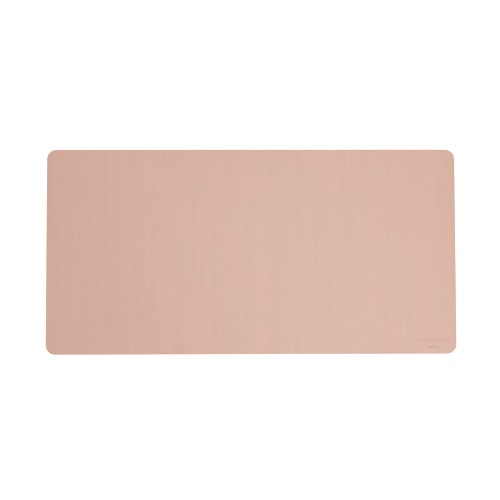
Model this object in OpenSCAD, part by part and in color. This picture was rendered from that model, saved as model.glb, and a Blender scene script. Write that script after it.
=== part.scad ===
// Desk mat: one flexible laminated sheet, with an artificial-leather skin on top
// and a non-slip suede underneath. It lies flat and has no moving parts.
// The origin is the centre of the underside. +X runs along the long side towards
// the right, +Y towards the back of the desk, and +Z up. All sizes are in mm.

/* [Mat] */
// Length along the front edge of the desk
mat_length = 800; // [500:10:1200]
// Width from the front edge to the back edge
mat_width = 400; // [250:10:600]
// Radius of the four corners, seen from above
corner_radius = 18.5; // [8:0.5:30]

/* [Plies] */
// Thickness of the polyurethane skin, which is the work surface
skin_thickness = 0.3; // [0.2:0.05:0.6]
// Thickness of the knitted cloth that the skin is coated on
cloth_thickness = 0.4; // [0.2:0.05:0.8]
// Thickness of each of the two hot-melt adhesive films
film_thickness = 0.1; // [0.05:0.05:0.2]
// Thickness of the core sheet, which keeps the mat flat
core_thickness = 0.5; // [0.3:0.1:2]
// Thickness of the microfibre suede base
suede_thickness = 0.6; // [0.3:0.1:1.2]

/* [Edge coating] */
// Thickness of the edge paint at its crown, half-way up the cut edge
coat_crown = 0.3; // [0.25:0.05:0.5]
// Thickness of the edge paint at its upper and lower shoulders
coat_shoulder = 0.1; // [0.05:0.05:0.2]
// Height of the cut edge left bare above the paint, and again below it
coat_setback = 0.1; // [0.05:0.05:0.15]

/* [Pressed ornament] */
// Depth of the ornament that is pressed into the skin
press_depth = 0.12; // [0.05:0.01:0.15]
// Distance from the mat's right edge to the middle of the ornament
ornament_from_right = 45.5; // [40:0.5:80]
// Distance from the mat's front edge to the middle of the row of lozenges
ornament_from_front = 26.5; // [20:0.5:60]
// Number of lozenges in the row
lozenge_count = 7; // [3:2:7]
// Distance from one lozenge's middle to the next
lozenge_pitch = 9.4; // [9:0.1:10]
// Length of a lozenge, along the row
lozenge_length = 7.6; // [4:0.1:8.5]
// Height of the middle lozenge
lozenge_height = 13; // [4:0.5:14]
// Part of its height that each lozenge loses to the one before it, out from the middle
lozenge_step = 0.1; // [0:0.01:0.25]
// Length of the short rule below the lozenges
rule_length = 21; // [10:1:40]
// Width of the short rule, which has round ends
rule_width = 2.4; // [0.8:0.1:3]
// Distance from the middle of the lozenges down to the rule
rule_drop = 13.2; // [11:0.1:16]

/* [Hidden] */
$fn = 96;

// The plies lie on each other face to face, from the underside up.
lower_film_z = suede_thickness;
core_z = lower_film_z + film_thickness;
upper_film_z = core_z + core_thickness;
cloth_z = upper_film_z + film_thickness;
skin_z = cloth_z + cloth_thickness;
mat_thickness = skin_z + skin_thickness;

// The edge paint stands outside the plies, so they are cut this much smaller.
ply_length = mat_length - 2 * coat_crown;
ply_width = mat_width - 2 * coat_crown;
ply_radius = corner_radius - coat_crown;

// The paint's outer face is an arc that rises from the shoulders to the crown.
coat_height = mat_thickness - 2 * coat_setback;
crown_rise = coat_crown - coat_shoulder;
crown_radius = (pow(coat_height / 2, 2) + pow(crown_rise, 2)) / (2 * crown_rise);

// A pressed pocket is cut from a little above the skin, to leave it open.
cut_margin = 0.5;
ornament_x = mat_length / 2 - ornament_from_right;
ornament_y = ornament_from_front - mat_width / 2;

SKIN_COLOR = [0.86, 0.72, 0.66];
COAT_COLOR = [0.82, 0.67, 0.61];
CLOTH_COLOR = [0.93, 0.9, 0.86];
FILM_COLOR = [0.95, 0.95, 0.88];
CORE_COLOR = [0.45, 0.43, 0.42];
SUEDE_COLOR = [0.78, 0.62, 0.56];

// A rectangle with round corners, centred on the origin.
module rounded_outline(length, width, radius) {
    square([length - 2 * radius, width], center = true);
    square([length, width - 2 * radius], center = true);
    for (sx = [-1, 1], sy = [-1, 1])
        translate([sx * (length / 2 - radius), sy * (width / 2 - radius)])
            circle(radius);
}

// One flat ply of the laminate.
module ply(bottom_z, thickness) {
    translate([0, 0, bottom_z])
        linear_extrude(thickness)
            rounded_outline(ply_length, ply_width, ply_radius);
}

// A lozenge, centred on the origin.
module lozenge(length, height) {
    polygon([[-length / 2, 0], [0, -height / 2], [length / 2, 0], [0, height / 2]]);
}

// A short line with round ends, centred on the origin.
module rule(length, width) {
    square([length - width, width], center = true);
    for (side = [-1, 1])
        translate([side * (length - width) / 2, 0])
            circle(width / 2);
}

// The ornament: a row of lozenges that get lower to both sides, above a short rule.
module ornament() {
    middle = (lozenge_count - 1) / 2;
    for (i = [0 : lozenge_count - 1])
        translate([(i - middle) * lozenge_pitch, 0])
            lozenge(lozenge_length, lozenge_height * (1 - lozenge_step * abs(i - middle)));
    translate([0, -rule_drop])
        rule(rule_length, rule_width);
}

// Section of the edge paint: X points out of the mat, and Y is up from mid-height.
module coat_section() {
    intersection() {
        translate([0, -coat_height / 2])
            square([coat_crown, coat_height]);
        translate([coat_crown - crown_radius, 0])
            circle(crown_radius);
    }
}

// A straight run of the edge paint along X, on a side that faces +Y.
module coat_run(run_length, side_distance) {
    translate([0, side_distance, mat_thickness / 2])
        rotate([90, 0, 90])
            linear_extrude(run_length, center = true)
                coat_section();
}

// The quarter turn of the edge paint round the corner in the +X +Y quadrant.
module coat_corner() {
    rotate_extrude(angle = 90)
        translate([ply_radius, 0])
            coat_section();
}

module pu_skin() {
    color(SKIN_COLOR)
        difference() {
            ply(skin_z, skin_thickness);
            translate([ornament_x, ornament_y, mat_thickness - press_depth])
                linear_extrude(press_depth + cut_margin)
                    ornament();
        }
}

module skin_backing_cloth() {
    color(CLOTH_COLOR)
        ply(cloth_z, cloth_thickness);
}

module upper_adhesive_film() {
    color(FILM_COLOR)
        ply(upper_film_z, film_thickness);
}

module core_sheet() {
    color(CORE_COLOR)
        ply(core_z, core_thickness);
}

module lower_adhesive_film() {
    color(FILM_COLOR)
        ply(lower_film_z, film_thickness);
}

module suede_base() {
    color(SUEDE_COLOR)
        ply(0, suede_thickness);
}

module edge_coating() {
    long_run = ply_length - 2 * ply_radius;
    short_run = ply_width - 2 * ply_radius;
    color(COAT_COLOR) {
        for (turn = [0, 180])
            rotate(turn)
                coat_run(long_run, ply_width / 2);
        for (turn = [90, 270])
            rotate(turn)
                coat_run(short_run, ply_length / 2);
        for (sx = [-1, 1], sy = [-1, 1])
            translate([sx * long_run / 2, sy * short_run / 2, mat_thickness / 2])
                rotate(atan2(sy, sx) - 45)
                    coat_corner();
    }
}

pu_skin();
skin_backing_cloth();
upper_adhesive_film();
core_sheet();
lower_adhesive_film();
suede_base();
edge_coating();
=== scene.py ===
import math

import bpy
import numpy as np
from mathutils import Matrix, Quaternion, Vector


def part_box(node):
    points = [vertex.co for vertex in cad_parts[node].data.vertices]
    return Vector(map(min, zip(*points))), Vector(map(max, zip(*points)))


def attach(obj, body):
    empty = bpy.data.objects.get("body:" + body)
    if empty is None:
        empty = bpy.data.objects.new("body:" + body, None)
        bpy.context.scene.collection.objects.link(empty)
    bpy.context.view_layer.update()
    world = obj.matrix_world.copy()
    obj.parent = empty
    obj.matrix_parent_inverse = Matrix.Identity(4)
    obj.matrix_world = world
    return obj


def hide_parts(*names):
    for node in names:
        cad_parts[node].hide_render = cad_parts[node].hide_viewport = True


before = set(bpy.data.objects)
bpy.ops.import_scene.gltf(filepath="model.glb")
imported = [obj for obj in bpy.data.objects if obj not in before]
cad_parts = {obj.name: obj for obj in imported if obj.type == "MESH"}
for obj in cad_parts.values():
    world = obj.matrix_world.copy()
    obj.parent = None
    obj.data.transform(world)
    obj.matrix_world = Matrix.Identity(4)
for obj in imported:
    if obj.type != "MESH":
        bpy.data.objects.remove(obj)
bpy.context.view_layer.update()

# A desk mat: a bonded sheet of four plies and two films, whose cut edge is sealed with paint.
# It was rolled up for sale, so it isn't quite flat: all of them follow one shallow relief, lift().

MM = 0.001

# ---- Sizes -----------------------------------------------------------------------------------

MAT_LOW, MAT_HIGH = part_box("edge_coating")
PLY_LOW, PLY_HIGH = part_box("pu_skin")
HALF_LENGTH, HALF_WIDTH = MAT_HIGH[0], MAT_HIGH[1]
PLY_HALF_LENGTH, PLY_HALF_WIDTH = PLY_HIGH[0], PLY_HIGH[1]

# The CAD's corner radius, and the thickness of its edge paint at the crown and at the shoulders.
CORNER_RADIUS = 18.5 * MM
COAT_CROWN = HALF_LENGTH - PLY_HALF_LENGTH
COAT_SHOULDER = 0.1 * MM
PLY_RADIUS = CORNER_RADIUS - COAT_CROWN

# The mesh of a ply: a grid inside a rim of rings that run round the outline.
PLY_COLUMN = 4 * MM
PLY_ROW = 10 * MM
CORNER_STEPS = 14
RIM = 4 * MM
# How far each ring is from the cut edge.
RIM_INSETS = [inset * MM for inset in (3.1, 2.3, 1.6, 1.0, 0.6, 0.3, 0.12, 0.06, 0.03, 0.01, 0.0)]

# The mesh of the edge paint, and how much its thickness varies: waves that go round the mat.
COAT_STATION = 2.5 * MM
COAT_ARC_STEPS = 10
COAT_WAVES = (9, 23, 47, 81, 139)
COAT_UNEVEN = 0.03 / math.sqrt(len(COAT_WAVES))
COAT_SEED = 7

# The skin's edge: it sinks a little towards the cut, and the cut's own corner is rounded.
EDGE_SINK = 0.05 * MM
EDGE_SINK_REACH = 1.1 * MM
EDGE_ROUND = 0.06 * MM

# The relief that the roll left: an arch that comes down at both short ends, and droops a little
# more at the very end, and long low waves.
ARCH_HEIGHT = 0.75 * MM
ARCH_REACH = 30 * MM
DROOP_HEIGHT = 0.22 * MM
DROOP_REACH = 7 * MM
# Each wave: length, height, how much it leans per metre of y, phase, share of it at the left.
ROLL_WAVES = [
    (236 * MM, 0.1 * MM, 0.1, 0.6, 1.0),
    (127 * MM, 0.045 * MM, -0.06, 2.1, 0.8),
    (61 * MM, 0.02 * MM, 0.08, 4.0, 0.4),
    (33 * MM, 0.014 * MM, 0.03, 1.2, 0.15),
]
WAVES_LEAN = 0.6  # how much the waves' rise from left to right leans towards the front
RELIEF_SAMPLES = (1601, 201)  # along x and y, where the relief's lowest level is looked for

# The pressed ornament, as the CAD has it: a row of lozenges above a short rule with round ends.
ORNAMENT_FROM_RIGHT = 45.5 * MM
ORNAMENT_FROM_FRONT = 26.5 * MM
ORNAMENT_X = HALF_LENGTH - ORNAMENT_FROM_RIGHT
ORNAMENT_Y = ORNAMENT_FROM_FRONT - HALF_WIDTH
PRESS_DEPTH = 0.12 * MM
PRESS_WALL = 0.4 * MM  # how far the leather takes to go down into it
LOZENGE_COUNT = 7
LOZENGE_PITCH = 9.4 * MM
LOZENGE_LENGTH = 7.6 * MM
LOZENGE_HEIGHT = 13 * MM  # the middle one's
LOZENGE_STEP = 0.1  # part of that height that each one loses to the one before it, outwards
RULE_LENGTH = 21 * MM
RULE_WIDTH = 2.4 * MM
RULE_DROP = 13.2 * MM
LOZENGE_SHADE = 0.35  # how dark the press left the lozenges, as a share of the rule
# The finer mesh round the ornament: how far it reaches past it, and the size of its cells.
ORNAMENT_MARGIN = 2 * MM
ORNAMENT_CELL = 0.33 * MM


def smooth_step(value):
    """0 below 0, 1 above 1, and a smooth rise between them."""
    t = np.clip(value, 0, 1)
    return t * t * (3 - 2 * t)


def roll_relief(x, y):
    """The shape that the roll left in the mat, in metres over an arbitrary level."""
    inward = HALF_LENGTH - np.abs(x)
    relief = ARCH_HEIGHT * (1 - np.exp(-inward / ARCH_REACH))
    relief = relief + DROOP_HEIGHT * (1 - np.exp(-inward / DROOP_REACH))
    right_front = smooth_step((x / HALF_LENGTH - WAVES_LEAN * y / HALF_WIDTH + 1) / 2)
    for length, height, lean, phase, left_share in ROLL_WAVES:
        share = left_share + (1 - left_share) * right_front
        relief = relief + share * height * np.sin(2 * math.pi * (x + lean * y) / length + phase)
    return relief


def lowest_relief():
    """The lowest level of the relief over the whole mat, which is where it touches the desk."""
    x, y = np.meshgrid(
        np.linspace(-HALF_LENGTH, HALF_LENGTH, RELIEF_SAMPLES[0]),
        np.linspace(-HALF_WIDTH, HALF_WIDTH, RELIEF_SAMPLES[1]),
    )
    return roll_relief(x, y).min()


RELIEF_FLOOR = lowest_relief()


def lift(x, y):
    """How far the underside of the mat is off the desk."""
    return np.maximum(roll_relief(x, y) - RELIEF_FLOOR, 0)


# ---- Meshes ----------------------------------------------------------------------------------


class Sheet:
    """The plan of a ply inside its rim: points in x and y, faces over them, and the loop round it.

    fine gives the lowest corner, the highest corner and the cells' size of a part with a finer grid.
    """

    def __init__(self, column, row, fine=None):
        self.half = (PLY_HALF_LENGTH - RIM, PLY_HALF_WIDTH - RIM)
        self.radius = PLY_RADIUS - RIM
        self.columns = 2 * round(self.half[0] / column)
        self.make_rows(row)
        self.points = []
        self.faces = []
        self.index = {}
        self.splits = (1, 1)
        self.patch = (0, 0, 0, 0)
        if fine:
            self.set_patch(*fine)
        self.make_grid()
        self.make_loop()

    def make_rows(self, row):
        """The rows' places along y, and how far each one reaches along x."""
        straight = self.half[1] - self.radius
        count = 2 * round(straight / row)
        y = list(np.linspace(-straight, straight, count + 1))
        reach = [self.half[0]] * len(y)
        for step in range(1, CORNER_STEPS + 1):
            angle = math.pi / 2 * step / CORNER_STEPS
            y.append(straight + self.radius * math.sin(angle))
            reach.append(self.half[0] - self.radius * (1 - math.cos(angle)))
            y.insert(0, -y[-1])
            reach.insert(0, reach[-1])
        self.row_y = np.array(y)
        self.row_reach = np.array(reach)
        self.rows = len(y) - 1

    def set_patch(self, low, high, size):
        """Makes the grid finer over a rectangle, from low to high, with cells of about that size."""
        step = 2 * self.half[0] / self.columns
        first = math.floor((low[0] + self.half[0]) / step)
        last = math.ceil((high[0] + self.half[0]) / step)
        bottom = int(np.searchsorted(self.row_y, low[1])) - 1
        top = int(np.searchsorted(self.row_y, high[1]))
        self.patch = (first, last, bottom, top)
        tallest = np.diff(self.row_y[bottom : top + 1]).max()
        self.splits = (math.ceil(step / size), math.ceil(tallest / size))

    def vertex(self, column, row):
        """The index of the point at a place on the grid, which may lie between its lines."""
        key = (round(column * self.splits[0]), round(row * self.splits[1]))
        if key not in self.index:
            y = np.interp(row, range(self.rows + 1), self.row_y)
            reach = np.interp(row, range(self.rows + 1), self.row_reach)
            self.index[key] = len(self.points)
            self.points.append((reach * (2 * column / self.columns - 1), y))
        return self.index[key]

    def in_patch(self, column, row):
        first, last, bottom, top = self.patch
        return first <= column < last and bottom <= row < top

    def edge(self, start, step, count):
        """The points from start, along an edge that count splits, without its last one."""
        return [
            self.vertex(start[0] + step[0] * k / count, start[1] + step[1] * k / count)
            for k in range(count)
        ]

    def make_grid(self):
        for row in range(self.rows):
            for column in range(self.columns):
                if self.in_patch(column, row):
                    self.fine_cell(column, row)
                else:
                    self.coarse_cell(column, row)

    def coarse_cell(self, column, row):
        """A face of one cell, with the finer points of any side that it shares with the patch."""
        across, along = self.splits
        below = across if self.in_patch(column, row - 1) else 1
        right = along if self.in_patch(column + 1, row) else 1
        above = across if self.in_patch(column, row + 1) else 1
        left = along if self.in_patch(column - 1, row) else 1
        self.faces.append(
            self.edge((column, row), (1, 0), below)
            + self.edge((column + 1, row), (0, 1), right)
            + self.edge((column + 1, row + 1), (-1, 0), above)
            + self.edge((column, row + 1), (0, -1), left)
        )

    def fine_cell(self, column, row):
        across, along = self.splits
        for i in range(across):
            for j in range(along):
                left, right = column + i / across, column + (i + 1) / across
                low, high = row + j / along, row + (j + 1) / along
                self.faces.append(
                    [
                        self.vertex(left, low),
                        self.vertex(right, low),
                        self.vertex(right, high),
                        self.vertex(left, high),
                    ]
                )

    def make_loop(self):
        """The grid's outer points, anticlockwise, with the direction out of the mat at each."""
        front = [(column, 0) for column in range(self.columns)]
        right = [(self.columns, row) for row in range(self.rows)]
        back = [(self.columns - column, self.rows) for column in range(self.columns)]
        left = [(0, self.rows - row) for row in range(self.rows)]
        self.loop = [self.vertex(*place) for place in front + right + back + left]
        at = np.array(self.points)[self.loop]
        centre = np.clip(
            at,
            [self.radius - self.half[0], self.radius - self.half[1]],
            [self.half[0] - self.radius, self.half[1] - self.radius],
        )
        self.outward = (at - centre) / np.linalg.norm(at - centre, axis=1)[:, None]


def mesh_object(name, points, faces, sharp_angle=35):
    """A smooth-shaded object whose edges are sharp where its faces meet at more than an angle."""
    mesh = bpy.data.meshes.new(name)
    mesh.from_pydata([tuple(p) for p in points], [], faces)
    mesh.validate()
    mesh.shade_smooth()
    mesh.set_sharp_from_angle(angle=math.radians(sharp_angle))
    obj = bpy.data.objects.new(name, mesh)
    bpy.context.scene.collection.objects.link(obj)
    return obj


def set_attribute(obj, name, values):
    """Stores one number for each point of the mesh, for the material to read."""
    layer = obj.data.attributes.new(name, "FLOAT", "POINT")
    layer.data.foreach_set("value", np.asarray(values, np.float32))


def ply_points(plan):
    """A plan's points and those of the rings round it, and how far each is from the cut edge."""
    grid = np.array(plan.points)
    rings = [grid[plan.loop] + plan.outward * (RIM - inset) for inset in RIM_INSETS]
    insets = [np.full(len(grid), RIM)]
    insets += [np.full(len(plan.loop), inset) for inset in RIM_INSETS]
    return np.concatenate([grid, *rings]), np.concatenate(insets)


def ply_faces(plan, first):
    """The faces over those points, which start at an index, and the outermost ring of points."""
    faces = [[first + index for index in face] for face in plan.faces]
    inner = [first + index for index in plan.loop]
    for ring in range(len(RIM_INSETS)):
        start = first + len(plan.points) + ring * len(plan.loop)
        outer = list(range(start, start + len(plan.loop)))
        faces += ring_faces(inner, outer)
        inner = outer
    return faces, inner


def closed_ply(name, upper, lower, low_z, high_z, top_shape=None):
    """A closed sheet between two heights over the mat's relief, from a plan for each side.

    top_shape(x, y, inset) is added to its top. Also gives how far each point is from the cut edge.
    """
    top_xy, top_inset = ply_points(upper)
    low_xy, low_inset = ply_points(lower)
    top_z = lift(*top_xy.T) + high_z
    if top_shape:
        top_z = top_z + top_shape(*top_xy.T, top_inset)
    low_z = lift(*low_xy.T) + low_z
    points = [np.column_stack([top_xy, top_z]), np.column_stack([low_xy, low_z])]
    top_faces, top_rim = ply_faces(upper, 0)
    low_faces, low_rim = ply_faces(lower, len(top_xy))
    faces = top_faces + [face[::-1] for face in low_faces] + ring_faces(top_rim, low_rim)
    obj = mesh_object(name, np.concatenate(points), faces)
    return obj, np.concatenate([top_inset, low_inset])


def ring_faces(inner, outer):
    """Faces between two rings of the same number of points, seen from outside or above."""
    size = len(inner)
    return [
        [inner[k], outer[k], outer[(k + 1) % size], inner[(k + 1) % size]]
        for k in range(size)
    ]


# ---- The pressed ornament --------------------------------------------------------------------


def ornament_distances(x, y):
    """How far each point is outside the lozenges, and outside the short rule; inside is negative."""
    x, y = x - ORNAMENT_X, y - ORNAMENT_Y
    lozenges = np.full(x.shape, np.inf)
    wide = LOZENGE_LENGTH / 2
    for i in range(LOZENGE_COUNT):
        place = i - (LOZENGE_COUNT - 1) / 2
        high = LOZENGE_HEIGHT / 2 * (1 - LOZENGE_STEP * abs(place))
        across = np.abs(x - place * LOZENGE_PITCH)
        distance = (across * high + np.abs(y) * wide - wide * high) / math.hypot(wide, high)
        lozenges = np.minimum(lozenges, distance)
    beyond = np.maximum(np.abs(x) - (RULE_LENGTH - RULE_WIDTH) / 2, 0)
    rule = np.hypot(beyond, y + RULE_DROP) - RULE_WIDTH / 2
    return lozenges, rule


def pressed_share(distance):
    """1 where the leather is pressed all the way down, and 0 outside the ornament."""
    return smooth_step(0.5 - distance / PRESS_WALL)


# ---- Materials -------------------------------------------------------------------------------


# The middle of smooth noise's range, within which nearly all of it lies.
NOISE_MIDDLE = (0.3, 0.7)


class Nodes:
    """Short ways to add and link the nodes of one material. Sizes in them are in millimetres."""

    def __init__(self, name):
        self.material = bpy.data.materials.new(name)
        self.material.use_nodes = True
        self.tree = self.material.node_tree
        self.shader = self.tree.nodes["Principled BSDF"]
        coordinates = self.tree.nodes.new("ShaderNodeTexCoord")
        self.place = coordinates.outputs["Object"]

    def add(self, kind, **settings):
        node = self.tree.nodes.new(kind)
        for key, value in settings.items():
            setattr(node, key, value)
        return node

    def put(self, socket, value):
        """Links a socket to another one, or sets it to a value."""
        if isinstance(value, bpy.types.NodeSocket):
            self.tree.links.new(value, socket)
        else:
            socket.default_value = value

    def stretched(self, x, y, z=1.0):
        """The object's coordinates, each times a factor. Under 1, it draws a pattern out that way."""
        node = self.add("ShaderNodeMapping")
        self.put(node.inputs["Vector"], self.place)
        node.inputs["Scale"].default_value = (x / MM, y / MM, z / MM)
        return node.outputs["Vector"]

    def noise(self, size, detail=2.0, rough=0.5, vector=None, distortion=0.0):
        """Smooth noise with features of a size."""
        node = self.add("ShaderNodeTexNoise")
        self.put(node.inputs["Vector"], vector or self.stretched(1, 1))
        node.inputs["Scale"].default_value = 1 / size
        node.inputs["Detail"].default_value = detail
        node.inputs["Roughness"].default_value = rough
        node.inputs["Distortion"].default_value = distortion
        return node.outputs["Fac"]

    def cells(self, size, feature="F1", vector=None):
        """The distance within cells of a size, as a share of that size."""
        node = self.add("ShaderNodeTexVoronoi", feature=feature)
        self.put(node.inputs["Vector"], vector or self.stretched(1, 1))
        node.inputs["Scale"].default_value = 1 / size
        return node.outputs["Distance"]

    def math(self, operation, a, b=0.0, clamp=False):
        node = self.add("ShaderNodeMath", operation=operation, use_clamp=clamp)
        self.put(node.inputs[0], a)
        self.put(node.inputs[1], b)
        return node.outputs[0]

    def spread(self, value, low, high, to_low=0.0, to_high=1.0):
        """Maps low..high smoothly to to_low..to_high, and what is beyond them to their ends."""
        node = self.add("ShaderNodeMapRange", interpolation_type="SMOOTHSTEP")
        self.put(node.inputs["Value"], value)
        for key, number in (
            ("From Min", low),
            ("From Max", high),
            ("To Min", to_low),
            ("To Max", to_high),
        ):
            node.inputs[key].default_value = number
        return node.outputs["Result"]

    def swing(self, noise, amount, middle=NOISE_MIDDLE):
        """Noise, with the middle of its range brought to -amount..amount."""
        return self.spread(noise, *middle, -amount, amount)

    def scale(self, value, factor):
        return self.math("MULTIPLY", value, factor)

    def sum(self, *values):
        total = values[0]
        for value in values[1:]:
            total = self.math("ADD", total, value)
        return total

    def mix(self, share, a, b):
        """Blends two colours by a share."""
        node = self.add("ShaderNodeMix", data_type="RGBA")
        self.put(node.inputs["Factor"], share)
        self.put(node.inputs["A"], a)
        self.put(node.inputs["B"], b)
        return node.outputs["Result"]

    def attribute(self, name):
        return self.add("ShaderNodeAttribute", attribute_name=name).outputs["Fac"]

    def bump(self, height, depth, under=None):
        """A relief of a depth in metres on the surface, on top of another relief."""
        node = self.add("ShaderNodeBump")
        node.inputs["Distance"].default_value = depth
        self.put(node.inputs["Height"], height)
        if under:
            self.put(node.inputs["Normal"], under)
        return node.outputs["Normal"]

    def finish(self, colour, roughness, normal, **constant):
        self.put(self.shader.inputs["Base Color"], colour)
        self.put(self.shader.inputs["Roughness"], roughness)
        self.put(self.shader.inputs["Normal"], normal)
        for key, value in constant.items():
            self.shader.inputs[key.replace("_", " ")].default_value = value
        return self.material


def rgb(red, green, blue):
    return (red, green, blue, 1.0)


def scaled(colour, factor):
    return rgb(*(part * factor for part in colour[:3]))


# The colour of each material, and of the leather where it is pressed.
SKIN = rgb(0.565, 0.342, 0.264)
PRESSED = rgb(0.435, 0.228, 0.165)
EDGE = rgb(0.545, 0.328, 0.251)
SUEDE = rgb(0.50, 0.32, 0.26)
CLOTH = rgb(0.80, 0.76, 0.70)
FILM = rgb(0.85, 0.84, 0.76)
CORE = rgb(0.17, 0.16, 0.155)

# The leather's pattern: the sizes of its features, the width of the creases as a share of the
# grain's size, and how much of the grain the press left.
GRAIN_SIZE = 1.5
GRAIN_WOBBLE = 3.5
CREASE_WIDTH = 0.16
PORE_SIZE = 0.45
CLOUD_SIZE = 85
MOTTLE_SIZE = 11
STREAK_SIZE = 9
STREAK_STRETCH = 0.035
PRESSED_GRAIN = 0.15
# Its colour lies between two shades of SKIN: at TONE_PLACE, moved from it by a share of its tone.
SKIN_DARK = 0.9
SKIN_LIGHT = 1.034
TONE_PLACE = 0.75
TONE_SHARE = 0.25
SKIN_ROUGHNESS = 0.345
SKIN_SPECULAR = 0.75
# The depths of the reliefs in all the materials.
CREASE_DEPTH = 0.045 * MM
GRAIN_DEPTH = 0.035 * MM
PORE_DEPTH = 0.008 * MM
BRUSH_MARK_DEPTH = 0.03 * MM
DUST_DEPTH = 0.006 * MM
FIBRE_DEPTH = 0.16 * MM
STROKE_DEPTH = 0.12 * MM
LOOP_DEPTH = 0.12 * MM
FUZZ_DEPTH = 0.05 * MM
BUBBLE_DEPTH = 0.02 * MM
WEB_DEPTH = 0.03 * MM
CELL_DEPTH = 0.05 * MM
GRIT_DEPTH = 0.03 * MM


def skin_material():
    """Matte artificial leather: a fine irregular grain, soft mottling, faint streaks in its tone drawn
    out along y.
    """
    n = Nodes("skin_leather")
    wobble = n.noise(GRAIN_WOBBLE, detail=1)
    warped = n.add("ShaderNodeVectorMath", operation="ADD")
    n.put(warped.inputs[0], n.stretched(1, 1))
    n.put(warped.inputs[1], wobble)
    place = warped.outputs["Vector"]
    grain = n.cells(GRAIN_SIZE, feature="SMOOTH_F1", vector=place)
    creases = n.cells(GRAIN_SIZE, feature="DISTANCE_TO_EDGE", vector=place)
    creases = n.spread(creases, 0, CREASE_WIDTH)
    pores = n.noise(PORE_SIZE, detail=2, rough=0.6)
    clouds = n.noise(CLOUD_SIZE, detail=3)
    mottle = n.noise(MOTTLE_SIZE, detail=3, rough=0.6)
    streaks = n.noise(STREAK_SIZE, detail=2, vector=n.stretched(1, STREAK_STRETCH))
    pressed = n.attribute("pressed")
    kept_grain = n.spread(pressed, 0, LOZENGE_SHADE, 1.0, PRESSED_GRAIN)

    tone = n.sum(
        n.swing(clouds, 0.28),
        n.swing(mottle, 0.3),
        n.swing(streaks, 0.36),
        n.swing(pores, 0.25, middle=(0.35, 0.65)),
        # The creases are painted darker than the grain: painted shade in the creases.
        n.spread(creases, 0, 1, -1.3, 0.2),
        # Darker towards the cut edge: partly the edge's own burnish, partly painted shade along the
        # rim.
        n.scale(n.attribute("edge"), -1.6),
    )
    shade = n.math("ADD", n.scale(tone, TONE_SHARE), TONE_PLACE, clamp=True)
    leather = n.mix(shade, scaled(SKIN, SKIN_DARK), scaled(SKIN, SKIN_LIGHT))
    roughness = n.sum(
        SKIN_ROUGHNESS,
        n.swing(clouds, 0.01),
        n.swing(mottle, -0.02),
        n.spread(creases, 0, 1, 0.05, 0),
        n.scale(pressed, -0.06),
    )
    relief = n.bump(n.math("MULTIPLY", creases, kept_grain), CREASE_DEPTH)
    relief = n.bump(n.math("MULTIPLY", grain, kept_grain), GRAIN_DEPTH, under=relief)
    relief = n.bump(pores, PORE_DEPTH, under=relief)
    colour = n.mix(pressed, leather, PRESSED)
    return n.finish(colour, roughness, relief, Specular_IOR_Level=SKIN_SPECULAR)


def edge_material():
    """Edge paint: a satin film with brush marks, a tone deeper than the leather."""
    n = Nodes("edge_paint")
    flow = n.noise(2.2, detail=2, vector=n.stretched(0.35, 0.35, 2))
    dust = n.noise(0.3, detail=1)
    colour = n.mix(n.spread(flow, *NOISE_MIDDLE), scaled(EDGE, 0.94), scaled(EDGE, 1.05))
    roughness = n.spread(flow, 0.25, 0.75, 0.36, 0.46)
    relief = n.bump(flow, BRUSH_MARK_DEPTH)
    relief = n.bump(dust, DUST_DEPTH, under=relief)
    return n.finish(colour, roughness, relief)


def suede_material():
    """Microfibre suede: a short nap that brushing has laid this way and that."""
    n = Nodes("base_suede")
    brushed = n.noise(46, detail=3, rough=0.6, distortion=0.8)
    strokes = n.noise(7, detail=3, rough=0.65, vector=n.stretched(1, 0.3))
    fibres = n.noise(0.9, detail=3, rough=0.7, vector=n.stretched(1, 0.45))
    tone = n.sum(n.swing(brushed, 0.4), n.swing(strokes, 0.25), n.swing(fibres, 0.35))
    shade = n.math("ADD", tone, 0.5, clamp=True)
    colour = n.mix(shade, scaled(SUEDE, 0.82), scaled(SUEDE, 1.14))
    roughness = n.spread(fibres, *NOISE_MIDDLE, 0.96, 0.84)
    relief = n.bump(fibres, FIBRE_DEPTH)
    relief = n.bump(strokes, STROKE_DEPTH, under=relief)
    return n.finish(colour, roughness, relief, Sheen_Weight=0.45, Sheen_Roughness=0.45)


def cloth_material():
    """Knitted cloth: columns of loops, a little fuzzy."""
    n = Nodes("backing_cloth")
    place = n.stretched(1, 1)
    wales = n.add("ShaderNodeTexWave", bands_direction="X")
    courses = n.add("ShaderNodeTexWave", bands_direction="DIAGONAL")
    for wave, scale in ((wales, 0.28), (courses, 0.36)):
        n.put(wave.inputs["Vector"], place)
        wave.inputs["Scale"].default_value = scale
        wave.inputs["Distortion"].default_value = 0.6
        wave.inputs["Detail"].default_value = 1
    loops = n.math("MULTIPLY", wales.outputs["Fac"], courses.outputs["Fac"])
    fuzz = n.noise(0.4, detail=3, rough=0.7)
    shade = n.sum(n.scale(loops, 0.6), n.scale(fuzz, 0.4), n.scale(n.noise(30), 0.15))
    colour = n.mix(n.spread(shade, 0.15, 0.95), scaled(CLOTH, 0.78), scaled(CLOTH, 1.05))
    roughness = n.spread(fuzz, *NOISE_MIDDLE, 0.94, 0.82)
    relief = n.bump(loops, LOOP_DEPTH)
    relief = n.bump(fuzz, FUZZ_DEPTH, under=relief)
    return n.finish(colour, roughness, relief, Sheen_Weight=0.2)


def film_material():
    """Hot-melt adhesive: a cloudy film with small bubbles and the print of the cloth in it."""
    n = Nodes("hot_melt_film")
    cloud = n.noise(14, detail=4, rough=0.6, distortion=0.4)
    bubbles = n.spread(n.cells(2.6), 0.1, 0.24)
    web = n.noise(1.6, detail=2)
    shade = n.sum(n.scale(cloud, 0.6), n.scale(bubbles, 0.25), n.scale(web, 0.25))
    colour = n.mix(n.spread(shade, 0.3, 0.85), scaled(FILM, 0.8), scaled(FILM, 1.06))
    roughness = n.spread(web, *NOISE_MIDDLE, 0.28, 0.5)
    relief = n.bump(bubbles, BUBBLE_DEPTH)
    relief = n.bump(web, WEB_DEPTH, under=relief)
    return n.finish(colour, roughness, relief)


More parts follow.
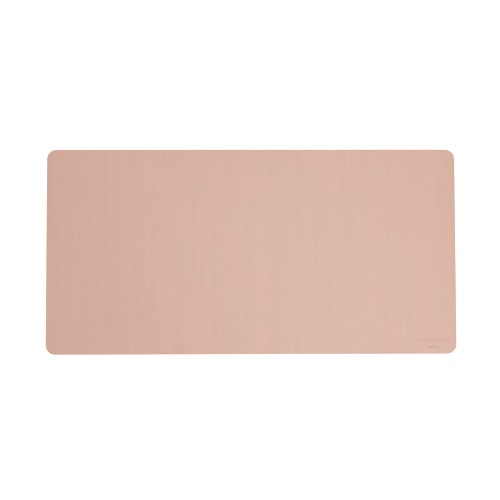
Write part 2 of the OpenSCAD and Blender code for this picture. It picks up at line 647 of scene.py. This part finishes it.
def core_material():
    """Soft rubber sheet: fine closed cells with a dusting of talc."""
    n = Nodes("core_rubber")
    cell = n.cells(0.8)
    talc = n.noise(24, detail=4, rough=0.65)
    grit = n.noise(0.6, detail=2)
    shade = n.sum(n.scale(talc, 0.7), n.scale(grit, 0.3))
    colour = n.mix(n.spread(shade, 0.3, 0.72), scaled(CORE, 0.8), scaled(CORE, 1.35))
    roughness = n.spread(talc, *NOISE_MIDDLE, 0.7, 0.9)
    relief = n.bump(cell, CELL_DEPTH)
    relief = n.bump(grit, GRIT_DEPTH, under=relief)
    return n.finish(colour, roughness, relief)


# ---- Pieces ----------------------------------------------------------------------------------


def dress(obj, node, material):
    """Gives a piece its material and its body, and has it stand for its CAD node."""
    obj.data.materials.append(material)
    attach(obj, "root")
    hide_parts(node)


def skin_top(x, y, inset):
    """What is added to the skin's top: the pressed ornament, and the sunk and rounded edge."""
    lozenges, rule = ornament_distances(x, y)
    pressed = PRESS_DEPTH * pressed_share(np.minimum(lozenges, rule))
    sunk = EDGE_SINK * np.exp(-inset / EDGE_SINK_REACH)
    over = np.clip(EDGE_ROUND - inset, 0, EDGE_ROUND)
    rounded = EDGE_ROUND - np.sqrt(EDGE_ROUND**2 - over**2)
    return -pressed - sunk - rounded


def ply_plan(fine=None):
    """The plan that all plies share, so that they lie face to face, or one with a finer part."""
    return Sheet(PLY_COLUMN, PLY_ROW, fine)


def make_skin():
    """The skin, whose upper side has a finer mesh round the pressed ornament."""
    reach = ((LOZENGE_COUNT - 1) * LOZENGE_PITCH + LOZENGE_LENGTH) / 2 + ORNAMENT_MARGIN
    below = RULE_DROP + RULE_WIDTH / 2 + ORNAMENT_MARGIN
    above = LOZENGE_HEIGHT / 2 + ORNAMENT_MARGIN
    fine = (
        (ORNAMENT_X - reach, ORNAMENT_Y - below),
        (ORNAMENT_X + reach, ORNAMENT_Y + above),
        ORNAMENT_CELL,
    )
    upper, lower = ply_plan(fine), ply_plan()
    skin, inset = closed_ply("skin_top", upper, lower, PLY_LOW[2], PLY_HIGH[2], skin_top)
    x, y = np.array([v.co[:2] for v in skin.data.vertices]).T
    lozenges, rule = ornament_distances(x, y)
    pressed = np.maximum(LOZENGE_SHADE * pressed_share(lozenges), pressed_share(rule))
    set_attribute(skin, "pressed", pressed)
    # The edge attribute darkens the leather towards the cut edge: partly its own burnish, partly
    # painted shade.
    set_attribute(skin, "edge", np.exp(-inset / EDGE_SINK_REACH))
    dress(skin, "pu_skin", skin_material())


def make_inner_plies():
    """The plies below the skin, from the top down, each on the one after it."""
    film = film_material()
    plies = [
        ("backing_cloth", "skin_backing_cloth", cloth_material()),
        ("upper_film", "upper_adhesive_film", film),
        ("core", "core_sheet", core_material()),
        ("lower_film", "lower_adhesive_film", film),
        ("suede", "suede_base", suede_material()),
    ]
    plan = ply_plan()
    for k, (name, node, material) in enumerate(plies):
        low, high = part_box(node)
        ply, _ = closed_ply(name, plan, plan, low[2], high[2])
        dress(ply, node, material)


def coat_thinning(stations):
    """What share of its thickness the edge paint lacks at each station round the mat."""
    random = np.random.default_rng(COAT_SEED)
    turn = 2 * math.pi * np.arange(stations) / stations
    uneven = np.zeros(stations)
    for cycles in COAT_WAVES:
        uneven += COAT_UNEVEN * np.sin(cycles * turn + random.uniform(0, 2 * math.pi))
    return np.abs(uneven)


def coat_section():
    """The edge paint's section, from the top down: how far out of the cut edge, and how high."""
    low_z, high_z = MAT_LOW[2], MAT_HIGH[2]
    section = [(0.0, high_z)]
    for step in range(COAT_ARC_STEPS + 1):
        share = 2 * step / COAT_ARC_STEPS - 1
        bulge = COAT_SHOULDER + (COAT_CROWN - COAT_SHOULDER) * (1 - share * share)
        section.append((bulge, (low_z + high_z) / 2 - share * (high_z - low_z) / 2))
    section.append((0.0, low_z))
    return section


def make_edge_coating():
    """The bead of edge paint: a crowned section swept round the outline, a little uneven."""
    plan = Sheet(COAT_STATION, COAT_STATION)
    side = np.array(plan.points)[plan.loop] + plan.outward * RIM
    stations = len(side)
    kept = 1 - coat_thinning(stations)
    section = coat_section()
    points = []
    faces = []
    for k, (out, z) in enumerate(section):
        place = side + plan.outward * (out * kept)[:, None]
        points.append(np.column_stack([place, z + lift(*side.T)]))
        here = k * stations
        following = (k + 1) % len(section) * stations
        faces += ring_faces(
            list(range(here, here + stations)),
            list(range(following, following + stations)),
        )
    coat = mesh_object("edge_paint_bead", np.concatenate(points), faces, sharp_angle=50)
    dress(coat, "edge_coating", edge_material())


# ---- Stage -----------------------------------------------------------------------------------


WHITE = rgb(1, 1, 1)

CAMERA_PLACE = (-0.0143, -0.0428, 1.3586)
CAMERA_ANGLES = (1.93, -0.483, -0.114)  # degrees
LENS = 50
SENSOR_WIDTH = 36

# The softbox: its middle, the point that it faces, its sides, how far it is turned about the line
# between the two, in degrees, and how bright its face is.
KEY_PLACE = (0.65, -0.26, 3.2)
KEY_TARGET = (0.23, -0.09, 0)
KEY_WIDTH = 2.2
KEY_HEIGHT = 3.2
KEY_TURN = -38
KEY_RADIANCE = 2.56

# The cove: how bright it is low down and overhead, and the heights between which it changes, where
# 0 is the horizon and 1 is straight up.
COVE_LOW_LIGHT = 1.0
COVE_TOP_LIGHT = 0.3
COVE_FADE = (0.6, 0.95)

# The floor: half its side, how far it is below the mat, its shade and roughness, and its own light
# near the mat and far from it.
FLOOR_HALF = 6.0
FLOOR_GAP = 0.1 * MM
FLOOR_SHADE = rgb(0.92, 0.92, 0.92)
FLOOR_ROUGHNESS = 0.9
FLOOR_NEAR, FLOOR_NEAR_LIGHT = 1.0, 0.25
FLOOR_FAR, FLOOR_FAR_LIGHT = 3.0, 0.5


def make_camera():
    """A camera almost straight above the mat, leaning a little towards its front edge."""
    data = bpy.data.cameras.new("camera")
    data.lens = LENS
    data.sensor_width = SENSOR_WIDTH
    camera = bpy.data.objects.new("camera", data)
    camera.location = CAMERA_PLACE
    camera.rotation_euler = [math.radians(angle) for angle in CAMERA_ANGLES]
    bpy.context.scene.collection.objects.link(camera)
    bpy.context.scene.camera = camera


def make_key_light():
    """A large softbox high over the mat's right end, whose gloss rises from left to right."""
    data = bpy.data.lights.new("key", "AREA")
    data.shape = "RECTANGLE"
    data.size = KEY_WIDTH
    data.size_y = KEY_HEIGHT
    data.energy = KEY_RADIANCE * math.pi * KEY_WIDTH * KEY_HEIGHT
    light = bpy.data.objects.new("key", data)
    light.visible_camera = False
    light.location = KEY_PLACE
    facing = (Vector(KEY_TARGET) - Vector(KEY_PLACE)).to_track_quat("-Z", "Y")
    turn = Quaternion((0, 0, 1), math.radians(KEY_TURN))
    light.rotation_euler = (facing @ turn).to_euler()
    bpy.context.scene.collection.objects.link(light)


def make_world():
    """The studio round the mat: a white cove, bright up to well above the horizon, dimmer overhead."""
    world = bpy.data.worlds.new("studio")
    world.use_nodes = True
    tree = world.node_tree
    direction = tree.nodes.new("ShaderNodeTexCoord")
    parts = tree.nodes.new("ShaderNodeSeparateXYZ")
    fade = tree.nodes.new("ShaderNodeMapRange")
    fade.interpolation_type = "SMOOTHSTEP"
    fade.inputs["From Min"].default_value = COVE_FADE[0]
    fade.inputs["From Max"].default_value = COVE_FADE[1]
    fade.inputs["To Min"].default_value = COVE_LOW_LIGHT
    fade.inputs["To Max"].default_value = COVE_TOP_LIGHT
    tree.links.new(direction.outputs["Generated"], parts.inputs["Vector"])
    tree.links.new(parts.outputs["Z"], fade.inputs["Value"])
    background = tree.nodes["Background"]
    tree.links.new(fade.outputs["Result"], background.inputs["Strength"])
    background.inputs["Color"].default_value = WHITE
    bpy.context.scene.world = world


def make_floor():
    """A plain white floor, lit a little from within so that it stays white to its far edge."""
    half = FLOOR_HALF
    corners = [(-half, -half), (half, -half), (half, half), (-half, half)]
    floor = mesh_object("floor", [(x, y, -FLOOR_GAP) for x, y in corners], [[0, 1, 2, 3]])
    n = Nodes("floor_white")
    n.put(n.shader.inputs["Base Color"], FLOOR_SHADE)
    n.put(n.shader.inputs["Roughness"], FLOOR_ROUGHNESS)
    n.put(n.shader.inputs["Emission Color"], WHITE)
    length = n.add("ShaderNodeVectorMath", operation="LENGTH")
    n.put(length.inputs[0], n.place)
    distance = length.outputs["Value"]
    glow = n.spread(distance, FLOOR_NEAR, FLOOR_FAR, FLOOR_NEAR_LIGHT, FLOOR_FAR_LIGHT)
    n.put(n.shader.inputs["Emission Strength"], glow)
    floor.data.materials.append(n.material)


bpy.context.scene.view_settings.view_transform = "Standard"
make_camera()
make_key_light()
make_world()
make_floor()
make_skin()
make_inner_plies()
make_edge_coating()
